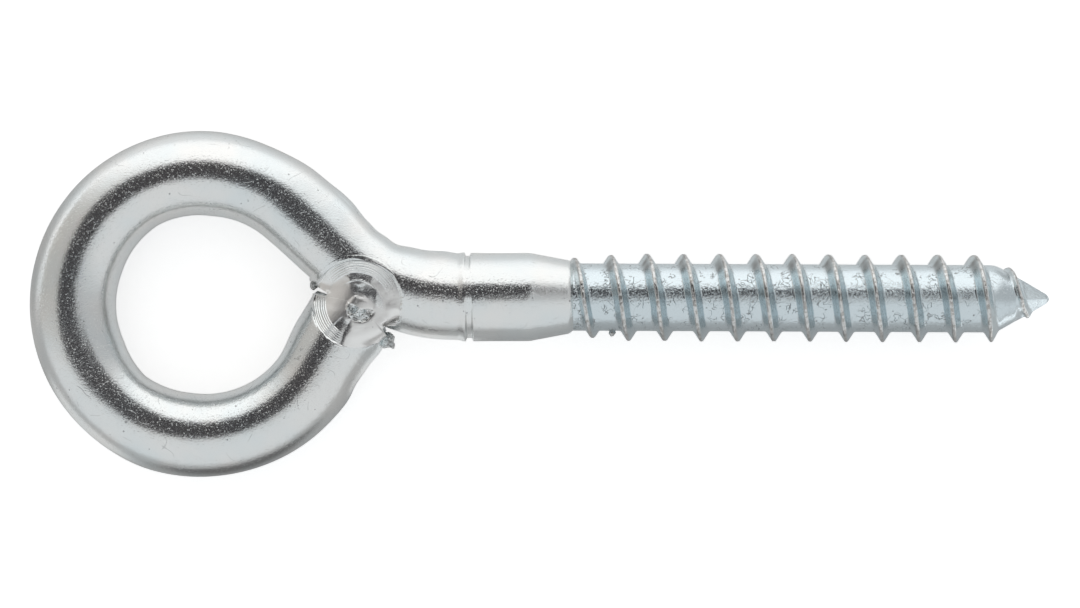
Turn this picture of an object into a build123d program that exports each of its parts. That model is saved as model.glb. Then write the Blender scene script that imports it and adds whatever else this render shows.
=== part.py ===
from build123d import *
import os
from math import cos, pi, radians, sin, sqrt, tan

# A heavy screw eye made from one steel bar. The bar is bent round into a ring, its free
# end is butted against the neck and resistance-welded there, and the straight end
# carries a coarse right-hand wood thread that runs out over a conical point.
# Frame: the screw axis is X with the point at +X, the ring lies in the XY plane, and
# the origin is on the screw axis, halfway along the plain shank. Lengths are in mm.

# Plain shank
shank_radius = 6.08
shank_length = 9.7

# Ring and neck. The bar is drawn a little thinner here than at the shank.
bar_radius = 5.82
eye_bend_radius = 18.05
eye_drop = 0.95           # the ring's centre lies this far below the screw axis
upper_leg_slope = 42.4    # degrees, from the ring down to the neck
lower_leg_slope = 58.4    # degrees, from the ring up to the weld
neck_bend_radius = 24.2
neck_blend = 0.8          # from the bar's radius to the shank's

# Threaded end. Turns are counted from the first crest of full height on the +Y side.
taper_length = 4.75
taper_end_radius = 5.06
shoulder_length = 0.83    # short step from the taper down to the root
root_radius = 4.67
crest_radius = 6.07
pitch = 5.0
crest_width = 0.56
flank_angle = 32.0        # degrees, from square to the axis
first_crest_gap = 10.47   # from the end of the plain shank to the first full crest
start_turns = -1.55
run_in_end = 0.5          # the crest climbs to its full height from the start to here
run_in_drop = 0.85        # how much lower it is where the thread starts
full_turns = 10.4         # the crest keeps its full height for this many turns
cone_turns = 11.0         # from here the ridge follows the cone
fade_turns = 11.4
end_turns = 11.85
root_length = 57.71       # thread root, from the shoulder to the cone
cone_length = 7.58
point_radius = 0.6
cone_thread_height = 0.72
end_dip = 1.2             # at its end the ridge has lost this share of that height
fillet_share = 0.15       # height of the root fillet, as a share of the ridge's height
fillet_reach = 0.65
thread_bed = 0.3          # how far the ridge is sunk into the core
steps_per_turn = 16

# Weld: electrode mark, pip of expelled metal, and flash in the two corners
leg_stop = 1.5            # the free end stops this far short of the neck's centre line
weld_setback = 4.35       # from the neck's centre line back to the middle of the mark
weld_radius = 6.06
weld_face_z = 5.62
weld_rim_z = 5.28
weld_edge = 0.35          # slope from the rim back up to the bar
ridge_count = 4
ridge_pitch = 0.42
ridge_depth = 0.12
pip_radius = 1.9
pip_top_z = 5.9
pip_rise = 0.3
crumb_count = 5
crumb_sides = 5
crumb_radius = 0.42
crumb_rise = 0.5
crumb_taper = 25.0        # degrees
crumb_start = 190.0       # degrees round the pip from +X, and the arc that the crumbs fill
crumb_spread = 160.0
notch_width = 0.6         # at the corner
notch_mouth = 0.8         # how far the cut runs out past the corner
inner_notch_depth = 2.1
inner_notch_turn = 13.0   # degrees, from square to the lower leg
outer_notch_depth = 1.9
outer_notch_turn = 100.0
inner_lip_length = 1.3    # along the bar's edge, starting lip_gap from the corner
inner_lip_reach = 0.85
inner_lip_lean = 0.1      # how far back its tip lies
outer_lip_length = 2.8
outer_lip_reach = 1.55
outer_lip_lean = 1.5
lip_gap = 0.7
lip_height = 5.0

# Crescent gauge marks on the shank, one on each side
mark_width = 0.6
mark_depth = 0.5
mark_inset = 0.54         # from the start of the shank to the middle of the first mark
mark_stagger = 0.48
mark_turn = 16.5          # degrees round the shank from +Y
mark_half_spread = 73.5   # degrees

# Where the pieces of the bar meet, worked out from the sizes above
upper = radians(upper_leg_slope)
lower = radians(lower_leg_slope)
neck_x = -shank_length / 2 - neck_blend
neck_corner_x = neck_x - neck_bend_radius * tan(upper / 2)
eye_x = neck_corner_x - (eye_bend_radius - eye_drop * cos(upper)) / sin(upper)
eye_centre = Vector(eye_x, -eye_drop)
neck_centre = Vector(neck_x, neck_bend_radius)
upper_way = Vector(cos(upper), -sin(upper))
upper_out = Vector(sin(upper), cos(upper))
lower_way = Vector(cos(lower), sin(lower))
lower_out = Vector(sin(lower), -cos(lower))
upper_tangent = eye_centre + upper_out * eye_bend_radius
lower_tangent = eye_centre + lower_out * eye_bend_radius
neck_start = Vector(neck_corner_x, 0) - upper_way * (neck_bend_radius * tan(upper / 2))

taper_end_x = shank_length / 2 + taper_length
root_start_x = taper_end_x + shoulder_length
cone_start_x = root_start_x + root_length
point_x = cone_start_x + cone_length
first_crest_x = shank_length / 2 + first_crest_gap
core_stations = [
    (shank_length / 2, shank_radius),
    (taper_end_x, taper_end_radius),
    (root_start_x, root_radius),
    (cone_start_x, root_radius),
    (point_x, point_radius),
]


def section(at, way, centre_side):
    """The bar's section, square to the way it runs, with its seam on the given side."""
    return Plane(at, x_dir=centre_side, z_dir=way) * Circle(bar_radius)


def leg_to_neck(offset):
    """How far the lower leg's line, moved sideways by offset, runs to the same line of the neck."""
    to_leg = lower_tangent + lower_out * offset - neck_centre
    along = to_leg.dot(lower_way)
    return -along - sqrt(along**2 - to_leg.dot(to_leg) + (neck_bend_radius + offset) ** 2)


def ring():
    turn = 180 + upper_leg_slope + lower_leg_slope
    return revolve(section(lower_tangent, lower_way, -lower_out), Axis(eye_centre, (0, 0, -1)), turn)


def upper_leg():
    return extrude(section(upper_tangent, upper_way, -upper_out), (neck_start - upper_tangent).length)


def lower_leg():
    return extrude(section(lower_tangent, lower_way, -lower_out), leg_to_neck(0) - leg_stop)


def neck_bend():
    end = section(Vector(neck_x, 0), Vector(1, 0), Vector(0, 1))
    return revolve(end, Axis(neck_centre, (0, 0, -1)), upper_leg_slope)


def core():
    """End of the neck, plain shank, taper, thread root and cone, turned in one piece."""
    neck_end = [(neck_x, 0), (neck_x, bar_radius), (-shank_length / 2, shank_radius)]
    outline = [*neck_end, *core_stations, (point_x, 0)]
    return revolve(make_face(Polyline(*outline, close=True)), Axis.X)


def core_radius(x):
    for (x0, r0), (x1, r1) in zip(core_stations, core_stations[1:]):
        if x <= x1:
            return r0 + (r1 - r0) * (x - x0) / (x1 - x0)
    return point_radius


def ramp(t, start, end):
    """0 up to start, 1 from end on, and a straight line between."""
    return min(max((t - start) / (end - start), 0), 1)


def thread_height(t):
    """Height of the ridge over the core. It rises through the run-in and follows the cone."""
    run_in = run_in_drop * (1 - ramp(t, start_turns, run_in_end))
    on_shank = crest_radius - run_in - core_radius(first_crest_x + pitch * t)
    on_cone = cone_thread_height * (1 - end_dip * ramp(t, fade_turns, end_turns))
    return on_shank + (on_cone - on_shank) * ramp(t, full_turns, cone_turns)


def thread_corners(t):
    """The six corners of the ridge's section: fillet foot, flank foot and crest on each side."""
    x = first_crest_x + pitch * t
    height = thread_height(t)
    sunk = min(height, 0)
    rise = fillet_share * max(height, 0)
    flank = crest_width / 2 + (max(height, 0) - rise) * tan(radians(flank_angle))
    left, right = [
        [
            (x + side * (flank + fillet_reach), sunk - thread_bed),
            (x + side * flank, sunk + rise),
            (x + side * crest_width / 2, height + core_radius(x) - core_radius(x + side * crest_width / 2)),
        ]
        for side in (-1, 1)
    ]
    turned = 2 * pi * t
    radii = [(px, core_radius(px) + over) for px, over in left + right[::-1]]
    return [Vector(px, r * cos(turned), r * sin(turned)) for px, r in radii]


def corner_headings(t, turns):
    """Which way each corner runs at t, as the distance it would go in that many turns."""
    small = 0.001
    pairs = zip(thread_corners(t - small), thread_corners(t + small))
    return [(after - before) * (turns / (2 * small)) for before, after in pairs]


def thread_stretch(start, end):
    """Up to one turn of the ridge: ruled bands between the helical edges of its corners."""
    steps = max(round((end - start) * steps_per_turn), 2)
    turns = [start + (end - start) * i / steps for i in range(steps + 1)]
    lines = zip(*[thread_corners(t) for t in turns])
    shares = [i / steps for i in range(steps + 1)]
    ways = zip(*[corner_headings(t, end - start) for t in (start, end)])
    edges = [
        Edge.make_spline(list(line), tangents=way, parameters=shares, scale=False)
        for line, way in zip(lines, ways)
    ]
    bands = [Face.make_surface_from_curves(a, b) for a, b in zip(edges, edges[1:] + edges[:1])]
    ends = [Face(Wire.make_polygon(thread_corners(t), close=True)) for t in (start, end)]
    return Solid(Shell(bands + ends))


def thread():
    count = int(end_turns - start_turns) + 1
    step = (end_turns - start_turns) / count
    starts = [start_turns + step * i for i in range(count)]
    return [thread_stretch(start, start + step) for start in starts]


def electrode():
    """Face of the welding electrode over the joint, with the turning ridges of its rim."""
    flat_radius = weld_radius - ridge_count * ridge_pitch
    top = 2 * bar_radius
    fall = (weld_face_z - weld_rim_z) / ridge_count
    profile = [(0, top), (0, weld_face_z), (flat_radius, weld_face_z)]
    for i in range(ridge_count):
        r = flat_radius + i * ridge_pitch
        z = weld_face_z - i * fall
        profile.append((r + ridge_pitch / 2, z - fall / 2 - ridge_depth))
        profile.append((r + ridge_pitch, z - fall))
    profile += [(weld_radius + weld_edge, bar_radius), (weld_radius + weld_edge, top)]
    # drawn in YZ so that its seam stays clear of the legs' edges
    return revolve(make_face(Plane.YZ * Polyline(*profile, close=True)), Axis.Z)


def pip():
    """Lens of metal squeezed out at the middle of the mark, with crumbs on its lower side."""
    side_z = pip_top_z - pip_rise
    sphere_radius = (pip_radius**2 + pip_rise**2) / (2 * pip_rise)
    lens = Pos(0, 0, pip_top_z - sphere_radius) * Sphere(sphere_radius)
    lens &= Pos(0, 0, side_z) * Cylinder(pip_radius, 4 * pip_rise)
    crumb_z = weld_face_z - crumb_rise / 2
    crumb = extrude(RegularPolygon(crumb_radius, crumb_sides), crumb_rise, taper=crumb_taper)
    crumbs = [
        Rot(0, 0, crumb_start + i * crumb_spread / crumb_count) * Pos(pip_radius, 0, crumb_z) * crumb
        for i in range(crumb_count)
    ]
    return lens.fuse(*crumbs)


def over_weld(shape):
    """A shape moved over the middle of the weld, on the lower leg's line."""
    return Pos(lower_tangent + lower_way * (leg_to_neck(0) - weld_setback)) * shape


def inner_corner():
    """Where the inner edges of the two legs cross, at the point of the eye."""
    reach = (eye_bend_radius - bar_radius) / (1 + upper_out.dot(lower_out))
    return eye_centre + (upper_out + lower_out) * reach


def outer_corner():
    """Where the lower leg's outer edge meets the underside of the neck."""
    half = bar_radius
    return lower_tangent + lower_out * half + lower_way * leg_to_neck(half)


def prism(points, height):
    return extrude(make_face(Polyline(*points, close=True)), height / 2, both=True)


def notch(corner, turn, depth):
    """Open end of the joint line, a thin wedge that narrows to nothing."""
    inward = lower_out.rotate(Axis.Z, turn)
    mouth = corner - inward * notch_mouth
    half = inward.rotate(Axis.Z, 90) * (notch_width / 2 * (1 + notch_mouth / depth))
    return prism([mouth + half, mouth - half, corner + inward * depth], 4 * bar_radius)


def lip(corner, back, out, length, lean, reach):
    """Flap of metal forced out beside a corner of the joint, rooted inside the bar."""
    near = corner + back * lip_gap
    tip = near + back * lean + out * reach
    root = near - out * bar_radius / 2
    return prism([near, tip, near + back * length, root + back * length, root], lip_height)


def gauge_mark(x, turn):
    """A crescent cut left by the edge of a round die, deepest at one side of the shank."""
    spread = radians(mark_half_spread)
    offset = mark_depth * (shank_radius - mark_depth / 2) / (mark_depth - shank_radius * (1 - cos(spread)))
    die = Cylinder(2 * shank_radius, mark_width)
    die -= Pos(0, offset, 0) * Cylinder(shank_radius - mark_depth - offset, mark_width)
    return Pos(x, 0, 0) * Rot(turn, 0, 0) * Rot(0, 90, 0) * die


def eye():
    """Ring, legs and neck, with the weld alike above and below."""
    bar = ring().fuse(upper_leg(), neck_bend(), lower_leg())
    lips = [
        lip(inner_corner(), -upper_way, -upper_out, inner_lip_length, inner_lip_lean, inner_lip_reach),
        lip(outer_corner(), -lower_way, lower_out, outer_lip_length, outer_lip_lean, outer_lip_reach),
    ]
    bar = bar.fuse(*lips)
    bar -= notch(inner_corner(), inner_notch_turn, inner_notch_depth)
    bar -= notch(outer_corner(), outer_notch_turn, outer_notch_depth)
    face = over_weld(electrode())
    bar = bar - face - mirror(face, Plane.XY)
    bead = over_weld(pip())
    return bar.fuse(bead, mirror(bead, Plane.XY))


def threaded_shank():
    screw = core().fuse(*thread())
    first_mark = -shank_length / 2 + mark_inset
    screw -= gauge_mark(first_mark, -mark_turn)
    return screw - gauge_mark(first_mark + mark_stagger, 180 - mark_turn)


os.makedirs("parts", exist_ok=True)
export_step(eye().fuse(threaded_shank()), "parts/screw_eye.step")
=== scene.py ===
import math

import bpy
import numpy as np
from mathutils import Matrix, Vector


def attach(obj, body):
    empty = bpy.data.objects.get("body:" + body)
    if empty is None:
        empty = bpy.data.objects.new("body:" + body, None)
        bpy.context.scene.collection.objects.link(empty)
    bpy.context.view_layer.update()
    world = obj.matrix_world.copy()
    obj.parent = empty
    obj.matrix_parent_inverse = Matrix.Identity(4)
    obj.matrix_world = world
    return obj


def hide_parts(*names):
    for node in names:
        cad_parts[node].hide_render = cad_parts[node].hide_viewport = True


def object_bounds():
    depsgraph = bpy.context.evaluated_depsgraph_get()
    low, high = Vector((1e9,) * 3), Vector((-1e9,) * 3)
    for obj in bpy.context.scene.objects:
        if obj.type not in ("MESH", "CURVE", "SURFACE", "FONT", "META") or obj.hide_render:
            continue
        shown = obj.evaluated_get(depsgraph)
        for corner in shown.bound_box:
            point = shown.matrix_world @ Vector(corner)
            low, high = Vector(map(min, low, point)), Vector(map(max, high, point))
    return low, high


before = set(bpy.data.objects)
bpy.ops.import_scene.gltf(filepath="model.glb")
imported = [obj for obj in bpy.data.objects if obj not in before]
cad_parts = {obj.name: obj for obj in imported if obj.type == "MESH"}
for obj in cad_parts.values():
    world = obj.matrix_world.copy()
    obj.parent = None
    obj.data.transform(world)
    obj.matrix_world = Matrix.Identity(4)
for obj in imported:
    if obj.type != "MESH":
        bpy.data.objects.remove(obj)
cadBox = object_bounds()
mm = 0.001  # everything below is worked out in millimetres and turned to metres at the end
low, high = (np.array(corner) / mm for corner in cadBox)
chance = np.random.default_rng(7)


def smoothStep(x, start, end):
    # 0 before start, 1 after end, with no corner at either
    t = np.clip((x - start) / (end - start), 0, 1)
    return t * t * (3 - 2 * t)


def softMax(a, b, width):
    # the larger of a and b, rounded over where they are within width of each other
    near = np.clip(1 - np.abs(a - b) / width, 0, 1)
    return np.maximum(a, b) + near * near * width / 4


def softMin(a, b, width):
    return -softMax(-a, -b, width)


lattice = chance.random((32, 32, 32))


def bell(x, width):
    # 1 at 0, and next to nothing beyond twice the width
    return np.exp(-((x / width) ** 2))


def cloud(x, y, z, size):
    # Smooth random values from -1 to 1: a lattice of random numbers, size apart, read
    # between its points.
    cells = [np.floor(c / size).astype(int) for c in (x, y, z)]
    parts = [c / size - cell for c, cell in zip((x, y, z), cells)]
    eased = [p * p * (3 - 2 * p) for p in parts]
    total = 0
    for dx in (0, 1):
        for dy in (0, 1):
            for dz in (0, 1):
                weight = 1
                for d, e in zip((dx, dy, dz), eased):
                    weight = weight * (e if d else 1 - e)
                i, j, k = ((cell + d) % 32 for cell, d in zip(cells, (dx, dy, dz)))
                total = total + weight * lattice[i, j, k]
    return 2 * total - 1


def flatCloud(x, y, layer, size):
    return cloud(x, y, 0 * x + layer, size)


def heading(angle):
    return np.array([np.cos(angle), np.sin(angle)])


def turnFrom(angle, degrees):
    # the shorter way round, in radians
    return (angle - math.radians(degrees) + math.pi) % (2 * math.pi) - math.pi


def asPoints(*place):
    return np.stack(place, axis=-1).reshape(-1, 3)


def makeMesh(name, points, faces, values=None):
    # points is an n by 3 array in mm, faces a list of index arrays with 3 or 4 columns
    mesh = bpy.data.meshes.new(name)
    mesh.vertices.add(len(points))
    mesh.vertices.foreach_set("co", (points * mm).astype(np.float32).ravel())
    corners = np.concatenate([f.ravel() for f in faces])
    counts = np.concatenate([np.full(len(f), f.shape[1]) for f in faces])
    mesh.loops.add(len(corners))
    mesh.loops.foreach_set("vertex_index", corners.astype(np.int32))
    mesh.polygons.add(len(counts))
    starts = np.concatenate([[0], np.cumsum(counts)[:-1]])
    mesh.polygons.foreach_set("loop_start", starts.astype(np.int32))
    mesh.update(calc_edges=True)
    mesh.validate()
    mesh.polygons.foreach_set("use_smooth", np.ones(len(mesh.polygons), dtype=bool))
    for label, value in (values or {}).items():
        layer = mesh.attributes.new(label, "FLOAT", "POINT")
        layer.data.foreach_set("value", value.astype(np.float32).ravel())
    piece = bpy.data.objects.new(name, mesh)
    bpy.context.scene.collection.objects.link(piece)
    return piece


def tubeFaces(rows, around, first=0):
    # quads between neighbouring rows of a tube, the last point of a row joined to its first
    i = np.arange(rows - 1)[:, None] * around
    j = np.arange(around)
    k = (j + 1) % around
    quads = np.stack([i + j, i + around + j, i + around + k, i + k], axis=-1)
    return quads.reshape(-1, 4) + first


def fanFaces(ring, pole, turnedOver):
    # triangles from a ring of points to one pole
    nextOne = np.roll(ring, -1)
    poles = np.full(len(ring), pole)
    order = (nextOne, ring, poles) if turnedOver else (ring, nextOne, poles)
    return np.stack(order, axis=-1)


def closedTube(points, around, poles, turnedOver):
    # rows of points with a fan over each end
    count = len(points)
    ring = np.arange(around)
    faces = [
        tubeFaces(count // around, around),
        fanFaces(ring, count, turnedOver),
        fanFaces(ring + count - around, count + 1, not turnedOver),
    ]
    return np.concatenate([points, poles]), faces


bar = {
    "radius": 5.82,
    "shankRadius": 6.08,
    "shankHalf": 4.85,        # the plain shank runs this far each side of the origin
    "blend": 0.8,
    "bend": 18.05,            # centre line of the ring
    "drop": 0.95,             # ring's centre below the screw axis
    "upperSlope": 42.4,
    "lowerSlope": 58.4,
    "neckBend": 24.2,
    "legStop": 1.5,           # the free end stops this far short of the neck's centre line
    "taper": 4.75,
    "taperEnd": 5.06,
    "taperLead": 0.65,        # it starts this far back on the shank
    "shoulder": 0.83,
    "shoulderSink": 0.2,      # it ends this far below the thread's root
    "rootRadius": 4.64,
    "softSteps": 30,          # corners of the profile are eased over this many steps each way
    "spacing": 0.27,          # between rows of points
    "closeRows": ((0.0, 1.2, 0.1), (13.0, 16.2, 0.055)),   # from, to, spacing: shoulder and marks
    "around": 144,
    "waviness": 0.018,
    "wavinessSize": 7.0,
}
gaugeMark = {
    "at": (-4.36, -4.1),
    "width": (0.76, 0.96),
    "turn": (-16.5, 163.5),   # where each is deepest
    "depth": 0.5,
    "spread": 73.5,           # it runs out this far round from there
    "floor": 0.28,            # half width at the floor and at the top, as shares of the width
    "brim": 0.62,
}
# planed strip inside the ring, one above and one below
facet = {
    "turn": 158.0,
    "depth": 0.10,
    "edge": 0.16,
    "lead": 6.0,              # it starts this far before the ring, and is full this far into it
    "full": 2.0,
    "to": 0.56,               # share of the ring's length where it ends
    "fade": 8.0,
}
# how far the inner side of the ring stands back from a true circle, and at what angle round it
hollow = {
    "angle": (40, 85, 120, 160, 205, 231, 262, 330),
    "depth": (0.35, -0.1, 0.27, -0.22, -0.14, 0.55, 0.13, 0.52),
    "width": 34.0,            # degrees round the bar
    "fadeIn": 4.0,
    "fadeOut": (1.0, 5.0),    # from so far before the ring's end to so far after it
}
# Shallow dents: nearest place on the bar's axis, degrees round the bar from its outer side, half
# length, half width and depth. A negative depth is a swelling.
dents = [
    ((-19.7, 11.2), 12, 0.9, 0.45, 0.26),
    ((-20.9, 12.2), 22, 2.6, 0.16, 0.10),
    ((-17.6, 9.3), 20, 2.2, 0.16, 0.09),
    ((-14.6, 6.6), 0, 2.2, 4.0, 0.52),
    ((-16.9, 8.9), 0, 2.0, 3.6, 0.36),
    ((-7.5, 6.2), 0, 3.0, 3.0, -0.40),
    ((-21.5, 13.5), 0, 3.2, 3.4, -0.38),
    ((-25.6, 17.2), 0, 2.8, 3.4, -0.17),
    ((-31.5, 21.0), 0, 5.5, 3.4, 0.30),
    ((-35.0, -23.5), 0, 6.0, 3.4, 0.10),
    ((-48.5, -22.8), 0, 4.0, 4.0, -0.11),
    ((-18.9, 10.6), 0, 1.5, 3.4, 0.18),
    ((-20.9, -14.5), 0, 1.8, 3.4, -0.10),
    ((-19.6, -12.1), 0, 1.6, 3.4, 0.15),
    ((-21.9, -4.0), 0, 1.7, 3.0, -0.38),
    ((-20.3, 4.8), 180, 1.6, 2.4, 0.72),
    ((-15.1, -4.0), 180, 0.9, 2.8, 1.0),
    ((-20.2, -2.1), 0, 1.1, 2.4, 0.55),
    ((-9.5, 0.0), 180, 4.0, 4.0, -0.14),
]

upper, lower = math.radians(bar["upperSlope"]), math.radians(bar["lowerSlope"])
neckX = -bar["shankHalf"] - bar["blend"]
shoulderX = bar["shankHalf"] + bar["taper"] + bar["shoulder"]
eyeX = low[0] + bar["bend"] + bar["radius"]
eyeY = -bar["drop"]
legWay, legAcross = heading(lower), heading(lower - math.pi / 2)
legFoot = np.array([eyeX, eyeY]) + bar["bend"] * legAcross

# how far the lower leg's axis runs before it meets the neck's centre line
neckCentre = np.array([neckX, bar["neckBend"]])
toLeg = legFoot - neckCentre
legReach = -toLeg @ legWay - math.sqrt((toLeg @ legWay) ** 2 - toLeg @ toLeg + bar["neckBend"] ** 2)
weldSetback = 4.35                             # from there back to the middle of the joint
weldCentre = legFoot + legWay * (legReach - weldSetback)


def upperLegLength():
    # the straight between the neck's bend and the ring, from the height that is left over for it
    rise = bar["bend"] * math.cos(upper) - bar["drop"] - bar["neckBend"] * (1 - math.cos(upper))
    return rise / math.sin(upper)


# The path starts at the shoulder and runs left: a chain of straight and curved runs. The
# heading is the running sum of the curvature, and the place is the running sum of the heading.
runs = [
    (shoulderX - neckX, 0.0),
    (bar["neckBend"] * upper, -1 / bar["neckBend"]),
    (upperLegLength(), 0.0),
    (bar["bend"] * (math.pi + upper + lower), 1 / bar["bend"]),
    (legReach - bar["legStop"], 0.0),
]
runEnds = np.cumsum([length for length, _ in runs])
fine = 0.01
steps = np.arange(0, runEnds[-1], fine)
whichRun = np.searchsorted(runEnds, steps, side="right").clip(0, len(runs) - 1)
curvature = np.array([c for _, c in runs])[whichRun]
headings = math.pi + np.cumsum(curvature) * fine
pathX = shoulderX + np.cumsum(np.cos(headings)) * fine
pathY = np.cumsum(np.sin(headings)) * fine


def stationOf(point):
    # the place along the path that is nearest to a point
    return steps[np.argmin((pathX - point[0]) ** 2 + (pathY - point[1]) ** 2)]


def groove(x, turn):
    # Each gauge mark is what a round die leaves when it is pressed in off centre: deepest at
    # one side, and nothing where the die's circle passes outside the shank's.
    spread = math.radians(gaugeMark["spread"])
    radius, depth = bar["shankRadius"], gaugeMark["depth"]
    offset = depth * (radius - depth / 2) / (depth - radius * (1 - math.cos(spread)))
    die = radius - depth - offset
    cut = 0
    for place, side, width in zip(gaugeMark["at"], gaugeMark["turn"], gaugeMark["width"]):
        off = turn - math.radians(side)
        reach = offset * np.cos(off) + np.sqrt(die**2 - (offset * np.sin(off)) ** 2)
        floor, brim = width * gaugeMark["floor"], width * gaugeMark["brim"]
        across = 1 - smoothStep(np.abs(x - place), floor, brim)
        cut = cut + np.clip(radius - reach, 0, None) * across
    return cut


def barRadius(s, x, y, turn):
    # along the path: shoulder, taper, shank, and the slightly thinner bent bar
    profile = np.interp(
        steps,
        [0, bar["shoulder"], bar["shoulder"] + bar["taper"] + bar["taperLead"],
         shoulderX + bar["shankHalf"], runs[0][0]],
        [bar["rootRadius"] - bar["shoulderSink"], bar["taperEnd"], bar["shankRadius"],
         bar["shankRadius"], bar["radius"]],
    )
    window = np.hanning(2 * bar["softSteps"] + 1)
    padded = np.pad(profile, bar["softSteps"], mode="edge")
    profile = np.convolve(padded, window / window.sum(), mode="valid")
    radius = np.interp(s, steps, profile)[:, None] + 0 * turn

    # the planed strip, where the bar was pressed round a former
    ringStart, ringEnd = runEnds[1], runEnds[3]
    stripEnd = ringStart + (ringEnd - ringStart) * facet["to"]
    strip = smoothStep(s, ringStart - facet["lead"], ringStart + facet["full"])
    strip = strip * (1 - smoothStep(s, stripEnd - facet["fade"], stripEnd))
    for side in (1, -1):
        off = np.cos(turn - side * math.radians(facet["turn"]))
        flat = (bar["radius"] - facet["depth"]) / np.clip(off, 0.2, None)
        flat = np.where(off > 0.2, flat, 99)
        planed = softMin(radius, flat, facet["edge"])
        radius = radius + (planed - radius) * strip[:, None]

    ringAngle = np.degrees(np.arctan2(y - eyeY, x - eyeX)) % 360
    depth = np.interp(ringAngle, hollow["angle"], hollow["depth"])
    before, after = hollow["fadeOut"]
    fade = smoothStep(s, ringStart - hollow["fadeIn"], ringStart)[:, None]
    fade = fade * (1 - smoothStep(s, ringEnd - before, ringEnd + after))[:, None]
    radius = radius - depth * fade * bell(np.degrees(turn) - 180, hollow["width"])

    for place, side, long, wide, deep in dents:
        along = (s[:, None] - stationOf(place)) / long
        off = turnFrom(turn, side)
        radius = radius - deep * np.exp(-along**2 - (off * bar["radius"] / wide) ** 2)
    return radius - np.where(s[:, None] < runs[0][0], groove(x, turn), 0)


def bentBar():
    density = np.full(len(steps), 1 / bar["spacing"])
    for start, end, gap in bar["closeRows"]:
        density[(steps > start) & (steps < end)] = 1 / gap
    share = np.cumsum(density)
    rows = int(share[-1] * fine)
    s = np.interp(np.linspace(0, share[-1], rows), share, steps)
    x, y, way = (np.interp(s, steps, track)[:, None] for track in (pathX, pathY, headings))
    turn = np.linspace(0, 2 * math.pi, bar["around"], endpoint=False)[None, :]
    radius = barRadius(s, x, y, turn)

    outX, outY = np.sin(way), -np.cos(way)
    px = x + radius * np.cos(turn) * outX
    py = y + radius * np.cos(turn) * outY
    pz = radius * np.sin(turn)
    size = bar["wavinessSize"]
    wave = bar["waviness"] * (cloud(px, py, pz, size) + 0.5 * cloud(px + 90, py, pz, size / 3))
    px, py = px + wave * np.cos(turn) * outX, py + wave * np.cos(turn) * outY
    pz = pz + wave * np.sin(turn)

    # the weld's own piece lies over the joint, so the bar is pressed down below it there
    r = np.hypot(px - weldCentre[0], py - weldCentre[1])
    joined, top, _ = weldTop(px, py)
    pressed = np.clip(top - weld["cover"], 0.1, None)
    pressed = pressed + 20 * smoothStep(r, weld["radius"] + 0.1, weld["radius"] + 0.6)
    pressed = np.where(joined > 0.3, pressed, 99)
    pz = np.sign(pz) * np.minimum(np.abs(pz), pressed)

    # the free end is narrower past the slit and the hook-shaped gap beside it
    along, across = legPlace(px, py)
    past = (s[:, None] > runEnds[3]) & (along > slitLimit(across))
    inward = np.where(past, np.clip(across, slit["across"][1], hook["across"][0]) - across, 0)
    px, py = px + inward * legAcross[0], py + inward * legAcross[1]

    points = np.clip(asPoints(px, py, pz), low, high)
    poles = [points[: bar["around"]].mean(axis=0), points[-bar["around"]:].mean(axis=0)]
    points, faces = closedTube(points, bar["around"], poles, True)
    print("bent bar", rows, "rows")
    return makeMesh("bentBar", points, faces)


weld = {
    "shift": (0.1, -0.2),     # of the printed face, from the middle of the joint
    "radius": 5.96,
    "faceHeight": 5.62,
    "crownTurn": (80.0, 57.0),        # the face is a low roof; its crown's direction above and below
    "crownBlend": 1.0,
    "crownWidth": 1.1,
    "leftSlope": 0.5,
    "rightSlope": 0.16,
    "slopeBlend": 0.8,
    "bite": (0.28, 0.75),     # deepest cut into the bars: on the left, on the right
    "biteTurn": 10.0,
    "biteFade": (-0.2, 0.7),
    "soft": 0.7,
    "rimSlope": 1.3,
    "rimSoft": 0.12,
    "pillRadius": 6.35,       # the upset end of the leg, a thick disc with a round edge
    "pillHeight": 5.3,
    "fillet": 0.9,
    "ridges": (5.9, 5.64, 5.36, 5.0, 4.72, 4.44),
    "ridgeHeight": 0.095,
    "ridgeWidth": 0.08,
    "ridgeWander": 0.05,
    "ridgeArcs": ((84.0, 52.0), (202.0, 34.0)),      # middle and half width of the arcs
    "innerRidge": 3.3,
    "innerHeight": 0.05,
    "innerWidth": 0.12,
    "innerArc": (64.0, 56.0),
    "cover": 0.3,             # the bar is kept this far below the weld's surface
    "reach": 7.4,
    "around": 288,
    "rings": 150,
}
# places pressed level and smooth: centre, inner and outer radius, middle and half width of the arc
levels = [
    {"at": (0.41, -0.53), "from": 2.05, "to": 3.3, "turn": 56.0, "half": 52.0,
     "height": 5.5, "soft": 0.4, "dull": 0.2},
    {"at": (0.0, 0.0), "from": 3.2, "to": 4.6, "turn": 86.0, "half": 27.0,
     "height": 5.55, "soft": 0.7, "dull": 0.4},
    {"at": (0.0, 0.0), "from": 2.6, "to": 7.2, "turn": 235.0, "half": 17.0,
     "height": 5.5, "soft": 0.6, "dull": 0.3},
]
levelShift = (-0.12, 0.11)    # none moves the face further down or up than this
pip = {
    "at": (0.41, -0.53),
    "radius": 1.9,
    "height": 0.36,
    "lean": 0.55,
    "leanTurn": 135.0,
    "ragged": 0.1,
    "roughTurn": 252.0,       # the side that is broken
    "rough": 0.4,
    "crumb": 0.62,
    "sunk": 0.12,
    # a painted shadow round the pip's lower rim: middle and half width of its arc, and its width
    "rimShadeTurn": (288.0, 48.0),
    "rimShadeWidth": 0.22,
}
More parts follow.
